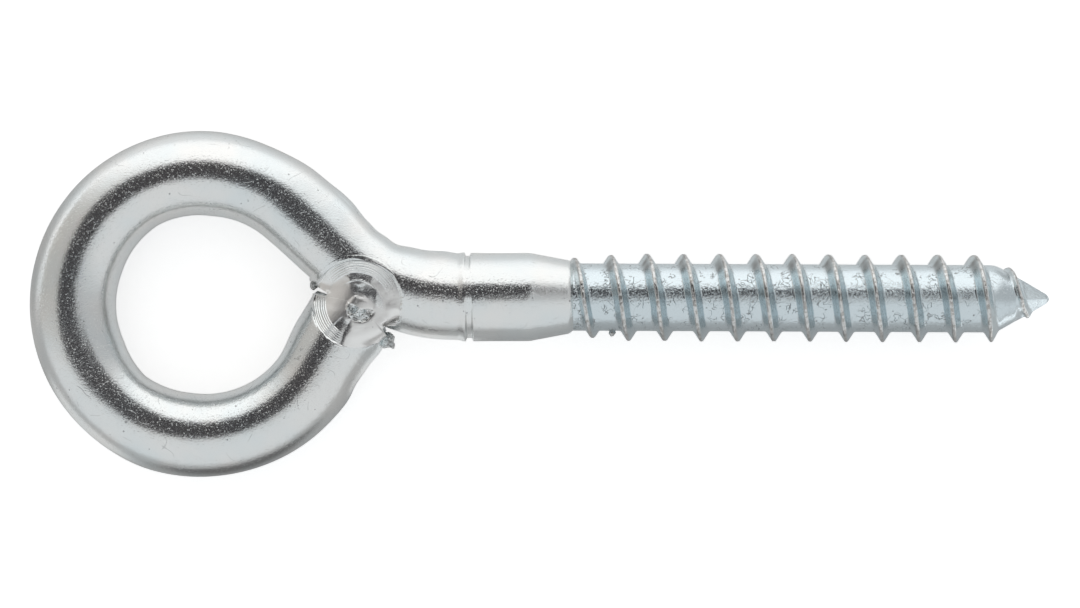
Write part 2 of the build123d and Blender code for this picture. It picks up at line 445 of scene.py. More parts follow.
# Gaps right through beside the leg's end: how far across the leg they reach, where along it
# they start, and how they lean.
slit = {"across": (-6.9, -4.1), "along": -1.22, "lean": 0.0, "gap": 0.46}
hook = {"across": (4.9, 6.9), "along": -1.11, "lean": 0.615, "gap": 0.7}
crevice = {"from": (5.05, -0.3), "to": (6.1, 1.5), "width": 0.17, "deep": 1.4, "fadeFrom": 0.3,
           "lead": 0.6}


def legPlace(x, y):
    # along the lower leg's axis and across it, from the middle of the joint
    dx, dy = x - weldCentre[0], y - weldCentre[1]
    return dx * legWay[0] + dy * legWay[1], dx * legAcross[0] + dy * legAcross[1]


def gapMiddle(gap, across):
    return gap["along"] + gap["lean"] * (across - gap["across"][0])


def slitLimit(across):
    # How far along its own axis the leg runs at this distance across it: cut back at the slit
    # on the inner side and at the hook-shaped gap on the outer side.
    atSlit = gapMiddle(slit, across) - slit["gap"] / 2
    atHook = gapMiddle(hook, across) - hook["gap"] / 2
    outer = np.where(across > hook["across"][0], atHook, 99.0)
    return np.where(across < slit["across"][1], atSlit, outer)


def neckDistance(x, y):
    # distance from the centre line of shank, neck bend and upper leg
    fromCentre = np.hypot(x - neckCentre[0], y - neckCentre[1])
    turned = np.arctan2(neckCentre[0] - x, neckCentre[1] - y)
    onBend = np.abs(fromCentre - bar["neckBend"])
    onShank = np.abs(y)
    corner = neckX - bar["neckBend"] * math.tan(upper / 2)
    onLeg = np.abs((x - corner) * math.sin(upper) + y * math.cos(upper))
    return np.where(turned < 0, onShank, np.where(turned > upper, onLeg, onBend))


def filleted(a, b):
    # the higher of two surfaces, filleted where both are well above the middle plane
    both = np.clip(np.minimum(a, b) / 2, 0, 1)
    return softMax(a, b, weld["fillet"]) * both + np.maximum(a, b) * (1 - both)


def jointHeight(x, y):
    # Top of the joined bars: each is a round tube, and the upset end of the leg is a thick
    # disc between them. The three are filleted together, and the two gaps are left open.
    along, across = legPlace(x, y)
    legEnd = weldSetback - bar["legStop"]
    leg = np.sqrt(np.clip(bar["radius"] ** 2 - across**2, 0, None))
    leg = np.where(along > slitLimit(across), 0, leg)
    leg = leg * (1 - smoothStep(along, legEnd - 0.6, legEnd + 1.6))
    neck = np.sqrt(np.clip(bar["radius"] ** 2 - neckDistance(x, y) ** 2, 0, None))
    tubes = filleted(leg, neck)
    r = np.hypot(x - weldCentre[0], y - weldCentre[1])
    pill = weld["pillHeight"] * np.sqrt(np.clip(1 - (r / weld["pillRadius"]) ** 8, 0, None))
    joined = filleted(tubes, pill)
    gapHere = False
    for gap in (slit, hook):
        start, end = gap["across"]
        within = np.abs(along - gapMiddle(gap, across)) < gap["gap"] / 2
        gapHere = gapHere | (across > start) & (across < end) & within
    return np.where(gapHere, 0, tubes), np.where(gapHere, 0, joined)


def arcWindow(turned, middle, half):
    # 1 inside an arc, fading out over its last third and a little beyond
    away = np.abs(turnFrom(turned, middle))
    return 1 - smoothStep(away, math.radians(half * 0.65), math.radians(half * 1.35))


def printedFace(x, y, dx, dy):
    # The face that the electrode pressed: a low roof, which bites less deep into the bars where
    # they stand lower. Then the level places, which are also smoother than the rest.
    tubes, joined = jointHeight(x, y)
    above, below = weld["crownTurn"]
    isAbove = smoothStep(dy, -weld["crownBlend"], weld["crownBlend"])
    crown = np.radians(below + (above - below) * isAbove)
    off = dx * np.sin(crown) - dy * np.cos(crown)
    onLeft = 1 - smoothStep(off, -weld["slopeBlend"], weld["slopeBlend"])
    slope = weld["rightSlope"] + (weld["leftSlope"] - weld["rightSlope"]) * onLeft
    width = weld["crownWidth"]
    roof = weld["faceHeight"] - slope * (np.sqrt(off**2 + width**2) - width)
    left, right = weld["bite"]
    toRight = np.cos(np.arctan2(dy, dx) - math.radians(weld["biteTurn"]))
    bite = left + (right - left) * smoothStep(toRight, *weld["biteFade"])
    face = softMax(roof, tubes - bite, weld["soft"])

    smooth = dull = 0
    for level in levels:
        soft = level["soft"]
        lx, ly = dx - level["at"][0], dy - level["at"][1]
        ragged = np.hypot(lx, ly) + 0.2 * flatCloud(x, y, 6, 0.9)
        window = smoothStep(ragged, level["from"] - soft, level["from"] + soft)
        window = window * (1 - smoothStep(ragged, level["to"] - soft, level["to"] + soft))
        raggedTurn = np.arctan2(ly, lx) + 0.12 * flatCloud(x, y, 7, 1.1)
        window = window * arcWindow(raggedTurn, level["turn"], level["half"])
        face = face + np.clip(level["height"] - face, *levelShift) * window
        smooth = np.maximum(smooth, window)
        dull = np.maximum(dull, level["dull"] * window)
    return joined, face, smooth, dull


def pipShape(x, y, px, py):
    # the height that the pip adds, where it is broken, and its dark colour, which is patchy darkening
    # on the broken side and a painted shadow round the lower rim; px, py run from its centre
    pr = np.hypot(px, py) + pip["ragged"] * flatCloud(x, y, 5, 0.9)
    turned = np.arctan2(py, px)
    inPip = np.clip(1 - (pr / pip["radius"]) ** 2, 0, None)
    lean = math.radians(pip["leanTurn"])
    leaning = 1 + pip["lean"] * (px * math.cos(lean) + py * math.sin(lean)) / pip["radius"]
    lens = pip["height"] * inPip**1.5 * leaning
    side = np.cos(turned - math.radians(pip["roughTurn"]))
    broken = smoothStep(side + 0.12 * flatCloud(x * 3, y * 3, 0, 1.0), -0.25, 0.15)
    broken = broken * smoothStep(-pr, -pip["radius"] * 1.12, -pip["radius"] * 0.8)
    broken = broken * smoothStep(pr, 0.1, 0.5)
    crumbs = pip["rough"] * flatCloud(x, y, 4, pip["crumb"])
    crumbs = crumbs + 0.5 * pip["rough"] * flatCloud(x, y, 9, pip["crumb"] / 2.2)
    # the broken metal is darkened in patches round its edge, and a painted shadow lies as a dark line
    # round the pip's lower rim
    burnt = broken * smoothStep(pr, 1.0, 1.3) * smoothStep(flatCloud(x, y, 11, 0.7), -0.5, 0.1)
    rimShade = bell(pr - pip["radius"] - 0.1, pip["rimShadeWidth"])
    rimShade = rimShade * arcWindow(turned, *pip["rimShadeTurn"])
    return lens, crumbs, broken, np.maximum(0.8 * burnt, 0.6 * rimShade)


def creviceDepth(x, y):
    # where the neck and the outer side of the leg have not run together
    along, across = legPlace(x, y)
    (a0, b0), (a1, b1) = crevice["from"], crevice["to"]
    length = math.hypot(a1 - a0, b1 - b0)
    ux, uy = (a1 - a0) / length, (b1 - b0) / length
    reach = (across - a0) * ux + (along - b0) * uy
    off = np.abs((across - a0) * -uy + (along - b0) * ux)
    fade = 1 - smoothStep(reach, crevice["fadeFrom"] * length, length)
    depth = crevice["deep"] * fade * bell(off, crevice["width"])
    return depth * (reach > -crevice["lead"])


def weldTop(x, y):
    # height of the joint's upper side, and what its surface is like
    dx, dy = x - weldCentre[0] - weld["shift"][0], y - weldCentre[1] - weld["shift"][1]
    r, turned = np.hypot(dx, dy), np.arctan2(dy, dx)
    joined, face, smooth, dull = printedFace(x, y, dx, dy)

    # turning ridges of the electrode, printed where it bit hardest
    wandering = r + weld["ridgeWander"] * flatCloud(x, y, 0, 3.0)
    shown = 0
    for middle, half in weld["ridgeArcs"]:
        shown = shown + arcWindow(turned, middle, half)
    for ridge in weld["ridges"]:
        line = bell(wandering - ridge, weld["ridgeWidth"])
        face = face + weld["ridgeHeight"] * line * shown
    inner = bell(wandering - weld["innerRidge"], weld["innerWidth"])
    face = face + weld["innerHeight"] * (inner * arcWindow(turned, *weld["innerArc"]))

    # pip of squeezed metal, smooth above and broken below, and a fine unevenness all over
    lens, crumbs, broken, burnt = pipShape(x, y, dx - pip["at"][0], dy - pip["at"][1])
    face = face + lens * (1 - 0.75 * broken) + (crumbs - pip["sunk"]) * broken
    face = face + 0.010 * flatCloud(x, y, 2, 0.7) + 0.015 * flatCloud(x, y, 3, 2.2)

    rim = np.clip(r - weld["radius"], 0, None)
    top = softMin(joined, face + rim * weld["rimSlope"], weld["rimSoft"])
    top = top - creviceDepth(x, y)

    edge = weld["radius"]
    matte = 1 - 0.8 * smoothStep(r, edge - 2.0, edge - 1.4) * np.clip(shown, 0, 1)
    matte = matte * (1 - smoothStep(r, edge - 0.2, edge + 0.2)) * (1 - smooth) * (1 - broken)
    pressed = 1 - smoothStep(r, edge - 0.3, edge + 0.3)
    return joined, top, {"matte": np.maximum(matte, dull), "pressed": pressed, "burnt": burnt}


def weldPiece():
    # Rays go out from the weld's middle, closer together near the slit. Each ends at the outline
    # of the joint or at the piece's own reach, and dips under the bar's surface before that.
    even = np.linspace(0, 2 * math.pi, weld["around"], endpoint=False)
    turned = even - 0.35 * np.sin(even - math.radians(160.0))
    probe = np.linspace(0, weld["reach"], 600)
    rayX = weldCentre[0] + np.outer(np.cos(turned), probe)
    rayY = weldCentre[1] + np.outer(np.sin(turned), probe)
    joined, _, _ = weldTop(rayX, rayY)
    outside = (joined < 0.35) & (probe > 3)
    last = np.where(outside.any(axis=1), outside.argmax(axis=1), len(probe) - 1)
    ends = probe[last]
    share = np.linspace(0, 1, weld["rings"] + 1)[1:]
    r = ends * share[:, None]
    x = weldCentre[0] + r * np.cos(turned)
    y = weldCentre[1] + r * np.sin(turned)
    _, top, looks = weldTop(x, y)
    top = top - 0.5 * smoothStep(r, weld["radius"] + 0.45, weld["reach"])
    top = np.clip(top, 0.02, None)
    middle = weldTop(np.array([weldCentre[0]]), np.array([weldCentre[1]]))[1][0]

    upperSide = asPoints(x, y, top)
    lowerSide = upperSide * np.array([1, 1, -1])
    poles = np.array([[*weldCentre, middle], [*weldCentre, -middle]])
    half = len(upperSide)
    points = np.concatenate([upperSide, lowerSide, poles])
    n = weld["around"]
    ring = np.arange(n)
    outer = ring + half - n
    outerBelow = outer + half
    wall = np.stack([outer, outerBelow, np.roll(outerBelow, -1), np.roll(outer, -1)], axis=-1)
    faces = [
        tubeFaces(weld["rings"], n),
        tubeFaces(weld["rings"], n, half)[:, ::-1],
        wall,
        fanFaces(ring, 2 * half, False),
        fanFaces(ring + half, 2 * half + 1, True),
    ]
    values = {label: np.concatenate([look.ravel()] * 2 + [[0, 0]]) for label, look in looks.items()}
    print("weld", len(points), "points")
    return makeMesh("weldJoint", points, faces, values)


# Flaps of flash forced out at the two corners of the joint, and a speck of dross on the thread.
# Each is burnt from burntFrom on towards +X.
flash = [
    {"name": "outerFlash", "height": 2.2, "burnt": 0.75, "burntFrom": -15.9,
     "corners": ((-16.5, -6.8), (-15.9, -7.1), (-15.05, -6.95), (-14.5, -7.1), (-14.45, -6.7),
                 (-14.62, -6.1), (-14.45, -5.6), (-14.75, -5.1), (-15.2, -4.8), (-15.7, -4.9),
                 (-16.3, -5.8))},
    {"name": "innerFlash", "height": 1.8, "burnt": 0.8, "burntFrom": -99.0,
     "corners": ((-26.05, 1.95), (-25.95, 1.15), (-25.6, 0.95), (-25.05, 1.35), (-24.85, 1.8),
                 (-25.3, 2.4))},
    {"name": "dross", "height": 0.5, "burnt": 0.7, "burntFrom": -99.0,
     "corners": ((15.2, -4.4), (15.1, -5.0), (15.35, -5.45), (15.75, -5.35), (16.05, -4.95),
                 (15.85, -4.35))},
]
flashGrid = {"around": 96, "rings": 28, "edge": 0.8, "rough": 0.11, "grain": 0.5, "burntFade": 0.7}


def flashPiece(what):
    # a cushion over an outline: its radius follows the outline, and its height falls off
    # towards the edge, with a rough, torn surface
    corners = np.array(what["corners"])
    centre = corners.mean(axis=0)
    around, rings = flashGrid["around"], flashGrid["rings"]
    turned = np.linspace(0, 2 * math.pi, around, endpoint=False)
    spoke = np.stack([np.cos(turned), np.sin(turned)], axis=-1)[:, None, :]
    start = corners[None, :, :] - centre
    side = np.roll(corners, -1, axis=0)[None, :, :] - centre - start
    # where each spoke crosses each side of the outline: t along the spoke, u along the side
    cross = spoke[..., 0] * side[..., 1] - spoke[..., 1] * side[..., 0]
    cross = np.where(np.abs(cross) < 1e-9, 1e-9, cross)
    t = (start[..., 0] * side[..., 1] - start[..., 1] * side[..., 0]) / cross
    u = (start[..., 0] * spoke[..., 1] - start[..., 1] * spoke[..., 0]) / cross
    reach = np.where((t > 0) & (u >= 0) & (u <= 1), t, 99).min(axis=1)
    upwards = np.linspace(0, math.pi, 2 * rings + 1)[1:-1]
    share, up = np.sin(upwards)[:, None], np.cos(upwards)[:, None]
    x = centre[0] + reach * share * np.cos(turned)
    y = centre[1] + reach * share * np.sin(turned)
    z = what["height"] * np.sign(up) * np.abs(up) ** flashGrid["edge"] + 0 * x
    size, grain = min(1, what["height"]), flashGrid["grain"]
    place = [x, y, z]
    for axis, shift in enumerate((0.0, 30.0, 60.0)):
        x, y, z = place
        bump = cloud(x + shift, y, z, grain) + 0.5 * cloud(x, y + shift, z + 9, grain / 2)
        place[axis] = place[axis] + flashGrid["rough"] * size * bump
    points = asPoints(*place)
    poles = [[*centre, what["height"]], [*centre, -what["height"]]]
    points, faces = closedTube(points, around, poles, False)
    burntTo = what["burntFrom"] + flashGrid["burntFade"]
    burnt = what["burnt"] * smoothStep(points[:, 0], what["burntFrom"], burntTo)
    return makeMesh(what["name"], points, faces, {"burnt": burnt})


thread = {
    "pitch": 5.0,
    "crestRadius": 6.06,
    "crestWidth": 0.34,
    "flank": 32.0,
    "firstCrest": bar["shankHalf"] + 10.47,
    "start": -1.55,           # turns, counted from the first crest on the +Y side
    "runInEnd": 0.5,
    "runInDrop": 0.85,
    "fullTurns": 10.4,
    "coneTurns": 11.0,
    "fadeTurns": 11.4,
    "endTurns": 11.85,
    "coneHeight": 0.78,
    "coneStart": 68.35,
    "pointRadius": 0.42,
    "pointRound": 0.5,
    "droop": 0.25,            # degrees; the threaded end is bent down this little
    "crestRound": 0.2,
    "footRound": 0.34,
    "around": 144,
    "wander": 0.05,
    "sideways": 0.07,
    "seamDepth": 0.13,
    "seamWidth": 0.13,
    "pinch": (5.0, 3.4),      # how far before the tip the flat sides start and are full
    "pinchSize": 1.02,
    "squeeze": 1.6,           # the grid is squeezed together over this much before the tip
}
tipX = high[0] - 0.005


def ramp(x, start, end):
    return np.clip((x - start) / (end - start), 0, 1)


def coreRadius(x):
    # cylinder and cone, eased into each other, with a rounded tip; it dips under the shoulder
    start, end = bar["rootRadius"], thread["pointRadius"]
    cone = start + (end - start) * (x - thread["coneStart"]) / (tipX - thread["coneStart"])
    hidden = 0.35 * (1 - smoothStep(x, shoulderX - 1.6, shoulderX - 0.4))
    body = softMin(start + 0 * x, cone, 0.5)
    back = np.clip((x - tipX + thread["pointRound"]) / thread["pointRound"], 0, 1)
    return body * np.sqrt(np.clip(1 - back**2, 0, None)) - hidden


def ridgeHeight(t, ridgeX):
    # The crest over the core: it climbs during the run-in, then keeps its radius, and on the
    # cone it is lower and fades out. t counts turns.
    runIn = thread["runInDrop"] * (1 - ramp(t, thread["start"], thread["runInEnd"]))
    onShank = thread["crestRadius"] - runIn - coreRadius(np.minimum(ridgeX, thread["coneStart"] - 1))
    onCone = thread["coneHeight"] * (1 - 1.2 * ramp(t, thread["fadeTurns"], thread["endTurns"]))
    height = onShank + (onCone - onShank) * smoothStep(t, thread["fullTurns"], thread["coneTurns"])
    return height * smoothStep(t, thread["start"] - 0.02, thread["start"] + 0.12)


def threadFaces(columns, n, perTurn, count):
    # Quads between neighbouring grid lines, where a line's last point joins the next turn's
    # line, and a fan over each end. The first pole has the number count.
    k = np.arange(columns)[:, None]
    j = np.arange(n)
    here = k * n + j
    ahead = np.where(j < n - 1, here + 1, (k + perTurn) * n)
    whole = k[1:] + np.where(j < n - 1, 0, perTurn) < columns
    quads = np.stack([here[:-1], here[1:], ahead[1:], ahead[:-1]], axis=-1)[whole]
    # open edges: the first turn of the first line with its step, and the last turn with its own
    firstLoop = np.concatenate([np.arange(n), (np.arange(perTurn, 0, -1)) * n])
    lastLine = (columns - perTurn - 1) * n + np.arange(n)
    lastStep = np.arange(columns - 1, columns - perTurn - 1, -1) * n
    lastLoop = np.concatenate([lastLine, lastStep])
    return [quads, fanFaces(firstLoop, count, True), fanFaces(lastLoop, count + 1, False)]


def threadedEnd():
    # The grid lines follow the thread, so that crest and foot stay sharp, and each carries on
    # one turn later as the next turn's line.
    pitch = thread["pitch"]
    slope = math.tan(math.radians(thread["flank"]))
    crest = thread["crestWidth"] / 2
    foot = crest + 1.37 * slope
    stops = [0, crest + 0.12, foot - 0.1, foot + 0.55, pitch / 2]
    sides = [np.linspace(start, end, 6)[1:] for start, end in zip(stops[1:], stops[2:])]
    half = np.concatenate([np.linspace(stops[0], stops[1], 5), *sides])
    phases = np.concatenate([-half[::-1][:-1], half[:-1]])      # one pitch, from foot to foot
    perTurn = len(phases)
    turns = np.arange(-2, 14)
    along = (thread["firstCrest"] + pitch * turns[:, None] + phases).ravel()
    angle = np.linspace(0, 2 * math.pi, thread["around"], endpoint=False)
    spin = angle / (2 * math.pi)
    nominal = along[:, None] + pitch * spin
    room = thread["squeeze"]
    squeezeFrom = tipX - room
    squeezed = squeezeFrom + room * (1 - np.exp(-(nominal - squeezeFrom) / room))
    x = np.where(nominal < squeezeFrom, nominal, squeezed)
    t = np.repeat(turns, perTurn)[:, None] + spin
    u = np.tile(phases, len(turns))[:, None] + 0 * t            # distance from the crest line
    ridgeX = thread["firstCrest"] + pitch * t

    def helixCloud(radius, shift, size):
        # smooth random values that run on from turn to turn
        wound = 2 * math.pi * t
        return cloud(np.cos(wound) * radius, np.sin(wound) * radius, ridgeX + shift, size)

    height = ridgeHeight(t, ridgeX)
    past = (t > thread["endTurns"] - 0.02) | (nominal > squeezeFrom + 2)
    height = np.where(past, 0, np.clip(height, 0, None))
    height = height + thread["wander"] * helixCloud(6, 0, 1.6) * ramp(height, 0.1, 0.5)
    u = u + thread["sideways"] * helixCloud(5, 40, 2.4)
    flank = height - (np.abs(u) - crest) / slope
    capped = softMin(flank, height, thread["crestRound"])
    ridge = softMax(capped, 0 * capped, thread["footRound"]) * (height > 0.02)
    # a seam where the two sides of the rolled crest have folded together
    seam = thread["seamDepth"] * smoothStep(helixCloud(6, 80, 1.1), -0.25, 0.5)
    ridge = ridge - seam * bell(u, thread["seamWidth"]) * ramp(height, 0.4, 0.9)
    radius = coreRadius(x) + ridge

    # the point was sheared: its last stretch has flat sides
    pinchStart, pinchFull = thread["pinch"]
    pinch = smoothStep(x, tipX - pinchStart, tipX - pinchFull)
    roof = thread["pinchSize"] / (np.abs(np.cos(angle)) + np.abs(np.sin(angle)))
    radius = radius * (1 + (roof - 1) * pinch)

    droop = math.tan(math.radians(thread["droop"]))
    y = radius * np.cos(angle) - droop * np.clip(x - shoulderX, 0, None)
    z = np.clip(radius * np.sin(angle), low[2], high[2])
    points = asPoints(x, y, z)
    faces = threadFaces(*nominal.shape, perTurn, len(points))
    inside = np.array([shoulderX - 4.0, 0.0, 0.0])
    tip = np.array([tipX, -droop * (tipX - shoulderX), 0.0])
    points = np.concatenate([points, [inside, tip]])
    used = np.zeros(len(points), bool)
    for f in faces:
        used[f.ravel()] = True
    renumber = np.cumsum(used) - 1
    faces = [renumber[f] for f in faces]

    # what the material reads; one field is a broken dark line beside the crest, on its -X side
    phase = np.tile(phases, len(turns))[:, None]
    fromTop = np.degrees(np.arccos(np.cos(angle)))              # from the +Y side, either way round
    spot = helixCloud(6, 20, 0.8)
    onCrest = np.exp(-((phase / (crest + 0.08)) ** 4)) * ramp(height, 0.2, 0.6)
    onThread = smoothStep(x, shoulderX - 0.9, shoulderX - 0.1)
    onCone = smoothStep(x, thread["coneStart"] - 1.5, thread["coneStart"])
    onRoot = (1 - smoothStep(ridge, 0.02, 0.25)) * onThread * (1 - 0.85 * onCone)
    onFlank = smoothStep(ridge, 0.05, 0.3) * (1 - onCrest)
    # painted light: the flanks lose most of their darker tint towards the -Y side of the screw, so
    # they read lighter there
    onFlank = onFlank * (1 - 0.8 * smoothStep(fromTop, 118, 162))
    # painted shade: a dark patch at the foot of each crest on its -X side, only on the +Y side of the
    # screw, standing in for a dark reflection
    grime = bell(phase + 0.68, 0.5)
    grime = grime * smoothStep(fromTop, 12, 24) * (1 - smoothStep(fromTop, 40, 54))
    grime = grime * (0.75 + 0.25 * spot) * ramp(height, 0.5, 1.0)
    fold = bell(u + 0.17, 0.08) * smoothStep(spot, -0.15, 0.25)
    fold = fold * ramp(height, 0.4, 0.9)
    fields = {"crest": onCrest, "root": onRoot, "flank": onFlank, "thread": onThread,
              "grime": grime, "fold": fold}
    values = {label: np.concatenate([field.ravel(), [0, 0]])[used] for label, field in fields.items()}
    print("thread", len(points), "points")
    return makeMesh("threadedEnd", points[used], faces, values)


def nodeMaker(owner):
    # a material's or a world's nodes, and short ways to add more
    owner.use_nodes = True
    tree = owner.node_tree

    def add(kind, inputs, **settings):
        # an input is a number or colour, or another node's output to link
        node = tree.nodes.new(kind)
        for key, value in settings.items():
            setattr(node, key, value)
        for key, value in inputs.items():
            if isinstance(value, bpy.types.NodeSocket):
                tree.links.new(value, node.inputs[key])
            else:
                node.inputs[key].default_value = value
        return node

    def maths(operation, *values):
        return add("ShaderNodeMath", dict(enumerate(values)), operation=operation).outputs[0]

    def spread(value, start, end, first=0.0, last=1.0, shape="LINEAR"):
        # first up to start, last from end on, and in between as shape says
        inputs = {"Value": value, "From Min": start, "From Max": end, "To Min": first, "To Max": last}
        return add("ShaderNodeMapRange", inputs, interpolation_type=shape).outputs["Result"]

    def tinted(below, colour, share):
        return add("ShaderNodeMix", {0: share, 6: below, 7: colour}, data_type="RGBA").outputs[2]

    def mixed(a, b, share):
        return add("ShaderNodeMix", {0: share, 2: a, 3: b}, data_type="FLOAT").outputs[0]

    return tree, add, maths, spread, tinted, mixed


zinc = {
    "colour": (0.81, 0.81, 0.80, 1),
    "blueTint": (0.75, 0.79, 0.80, 1),
    "threadTint": (0.68, 0.755, 0.79, 1),
    "flankTint": (0.50, 0.56, 0.56, 1),
    "crestTint": (0.69, 0.695, 0.69, 1),
    "crestDark": (0.43, 0.42, 0.40, 1),
    "matteTint": (0.875, 0.872, 0.86, 1),
    # dark tint for burnt metal, also used for painted shade
    "burntAndShadeTint": (0.20, 0.195, 0.19, 1),
    "pitTint": (0.25, 0.26, 0.26, 1),
    "roughness": 0.19,
    "roughnessRange": (-0.05, 0.08),
    "matteRoughness": 0.32,
    "tintSize": 8.0,
    "grainSize": 0.24,
    "grainDepth": 0.016,
    "speckSize": 0.22,
    "speckDepth": 0.018,
    "pitSize": 1.1,
    "pitRadius": (0.02, 0.19),
    "pitShare": 0.55,
    "waveSize": 1.6,
    "waveDepth": 0.02,
    "scratchSize": 5.5,
    "scratchWidth": 0.0035,
    "scratchDepth": 0.012,
    "scratchShare": 0.35,
    "wormSize": 0.95,
    "wormWidth": 0.024,
    "wormDepth": 0.055,
    "wormShare": 0.85,
    "darkLineShare": 0.85,
    "paintedFlankShadeShare": 0.92,
    "mottleSize": 1.1,
    "mottleShare": (0.45, 0.12),
    "crestSpotSize": 0.5,
    "crestSpotShare": 0.85,
    "burntAndShadeSpotSize": 0.5,
    "pebbleSize": 0.38,
    "pebbleDepth": 0.05,
}


def zincPlate():
    material = bpy.data.materials.new("zincPlate")
    tree, add, maths, spread, tinted, mixed = nodeMaker(material)
    shader = tree.nodes["Principled BSDF"]
    shader.inputs["Metallic"].default_value = 1.0
    where = add("ShaderNodeTexCoord", {}).outputs["Object"]
    # what the meshes say about themselves; a piece without the attribute counts as 0
    part = {label: add("ShaderNodeAttribute", {}, attribute_name=label).outputs["Fac"]
            for label in "thread root crest flank grime fold matte pressed burnt".split()}

    def noise(size, detail=2.0, distortion=0.0):
        inputs = {"Scale": 1 / (size * mm), "Detail": detail, "Distortion": distortion}
        return add("ShaderNodeTexNoise", {"Vector": where, **inputs}).outputs["Fac"]

    def times(a, b):
        return maths("MULTIPLY", a, b)

    def bumped(height, depth, below=None, sunk=False):
        inputs = {"Height": height, "Strength": 1.0, "Distance": depth * mm}
        if below:
            inputs["Normal"] = below
        return add("ShaderNodeBump", inputs, invert=sunk).outputs["Normal"]

    def lines(size, width, gateSize, gateStart, distortion=0.0):
        # thin lines where a noise field passes through its middle value, in scattered patches
        away = maths("ABSOLUTE", maths("SUBTRACT", noise(size, 1.0, distortion), 0.5))
        gate = spread(noise(gateSize, 0.0), gateStart, gateStart + 0.07)
        return times(spread(away, 0.0, width, 1.0, 0.0), gate)

    grain = noise(zinc["grainSize"])
    bare = maths("SUBTRACT", 1.0, part["pressed"])
    worms = times(lines(zinc["wormSize"], zinc["wormWidth"], 1.7, 0.47, 0.8), part["root"])
    scratches = times(lines(zinc["scratchSize"], zinc["scratchWidth"], 2.2, 0.60), bare)
    specks = times(spread(noise(zinc["speckSize"], 1.0), 0.61, 0.79), bare)

    # small pits at the middle of scattered cells
    cells = add("ShaderNodeTexVoronoi", {"Vector": where, "Scale": 1 / (zinc["pitSize"] * mm)})
    radius = spread(noise(2.3), 0.5, 0.75, *zinc["pitRadius"])
    pit = maths("LESS_THAN", cells.outputs["Distance"], radius)

    clouded = spread(noise(zinc["tintSize"], 3.0), 0.35, 0.65)
    mottled = spread(noise(zinc["mottleSize"], 3.0), 0.38, 0.66, *zinc["mottleShare"])
    crestSpots = spread(noise(zinc["crestSpotSize"]), 0.46, 0.60, 0.0, zinc["crestSpotShare"])
    burntAndShadeSpots = spread(noise(zinc["burntAndShadeSpotSize"]), 0.35, 0.6, 0.45, 1.0)
    paint = zinc["colour"]
    for tint, share in (
        ("blueTint", clouded),
        ("threadTint", part["thread"]),
        ("flankTint", times(part["flank"], mottled)),
        ("matteTint", part["matte"]),
        ("crestTint", part["crest"]),
        ("crestDark", times(part["crest"], crestSpots)),
        ("pitTint", times(part["fold"], zinc["darkLineShare"])),
        # painted shade at the foot of each crest on the +Y side
        ("burntAndShadeTint", times(part["grime"], zinc["paintedFlankShadeShare"])),
        # burnt flash and dross, patchy darkening at the pip's broken edge, and the painted shadow
        # round the pip's rim
        ("burntAndShadeTint", times(part["burnt"], burntAndShadeSpots)),
        ("pitTint", times(pit, zinc["pitShare"])),
        ("pitTint", times(scratches, zinc["scratchShare"])),
        ("pitTint", times(worms, zinc["wormShare"])),
    ):
        paint = tinted(paint, zinc[tint], share)
    tree.links.new(paint, shader.inputs["Base Color"])

    finest, coarsest = (zinc["roughness"] + change for change in zinc["roughnessRange"])
    polish = spread(grain, 0.3, 0.7, finest, coarsest)
    tree.links.new(mixed(polish, zinc["matteRoughness"], part["matte"]), shader.inputs["Roughness"])

    normal = bumped(noise(zinc["waveSize"]), zinc["waveDepth"])
    normal = bumped(grain, zinc["grainDepth"], normal)
    normal = bumped(specks, zinc["speckDepth"], normal)
    normal = bumped(scratches, zinc["scratchDepth"], normal, sunk=True)
    uneven = maths("ADD", part["root"], part["crest"])
    normal = bumped(times(noise(zinc["pebbleSize"], 3.0), uneven), zinc["pebbleDepth"], normal)
    normal = bumped(worms, zinc["wormDepth"], normal, sunk=True)
    tree.links.new(normal, shader.inputs["Normal"])
    return material


studio = {
    "floorSize": 900.0,
    "floor": 0.72,
    "floorGlow": 0.62,
    "mirroredGlow": 0.04,
    "litFloor": 0.98,         # as the metal mirrors it, the floor is lighter towards +Y
    "shadeFloor": 0.56,
    "shadeFrom": 8.0,
    "shadeTo": -14.0,
    "farGlow": 0.42,          # and shines far out on that side
    "farFrom": 9.0,
    "farTo": 48.0,
    "topBox": (1.24, 1.24, 1.23),
    "topNarrow": 0.52,        # how fast the bright end falls off to the sides
    "leftSide": (0.545, 0.525, 0.50),
    "rightSide": (0.53, 0.535, 0.54),
    "below": (0.76, 0.78, 0.79),
    "flagHeight": 250.0,
    "flagOutline": ((-228, -75), (-60, -60), (0, -15), (35, 30), (102, 42), (102, 172), (-228, 160)),
    "flagGlow": (0.05, 0.047, 0.05),
    "cameraHeight": 550.0,
    "centre": (5.606, -0.964),
    "frameWidth": 148.76,
    "sensor": 36.0,
}
# Soft-edged patches of painted light and shade on the floor, seen only in the metal: middle, half
# size, tone, and how much they shine. A negative glow dims the floor's own. The darkest is a painted
# shadow of the object.
mirroredShadePatches = [
    ((-30.0, -46.0), (34.0, 24.0), 0.14, 0.0),
    ((-77.0, 12.0), (18.0, 26.0), 0.52, 0.0),
    ((-68.0, -27.0), (18.0, 15.0), 0.9, 0.06),
    ((-40.0, -1.0), (17.0, 17.0), 0.98, 0.05),
    ((-11.0, -11.0), (10.0, 8.0), 0.9, 0.2),
    ((-60.0, 46.0), (75.0, 52.0), 0.8, -0.15),
    ((92.0, 28.0), (27.0, 27.0), 0.6, -0.1),
    ((92.0, -28.0), (27.0, 24.0), 1.0, 0.5),
]


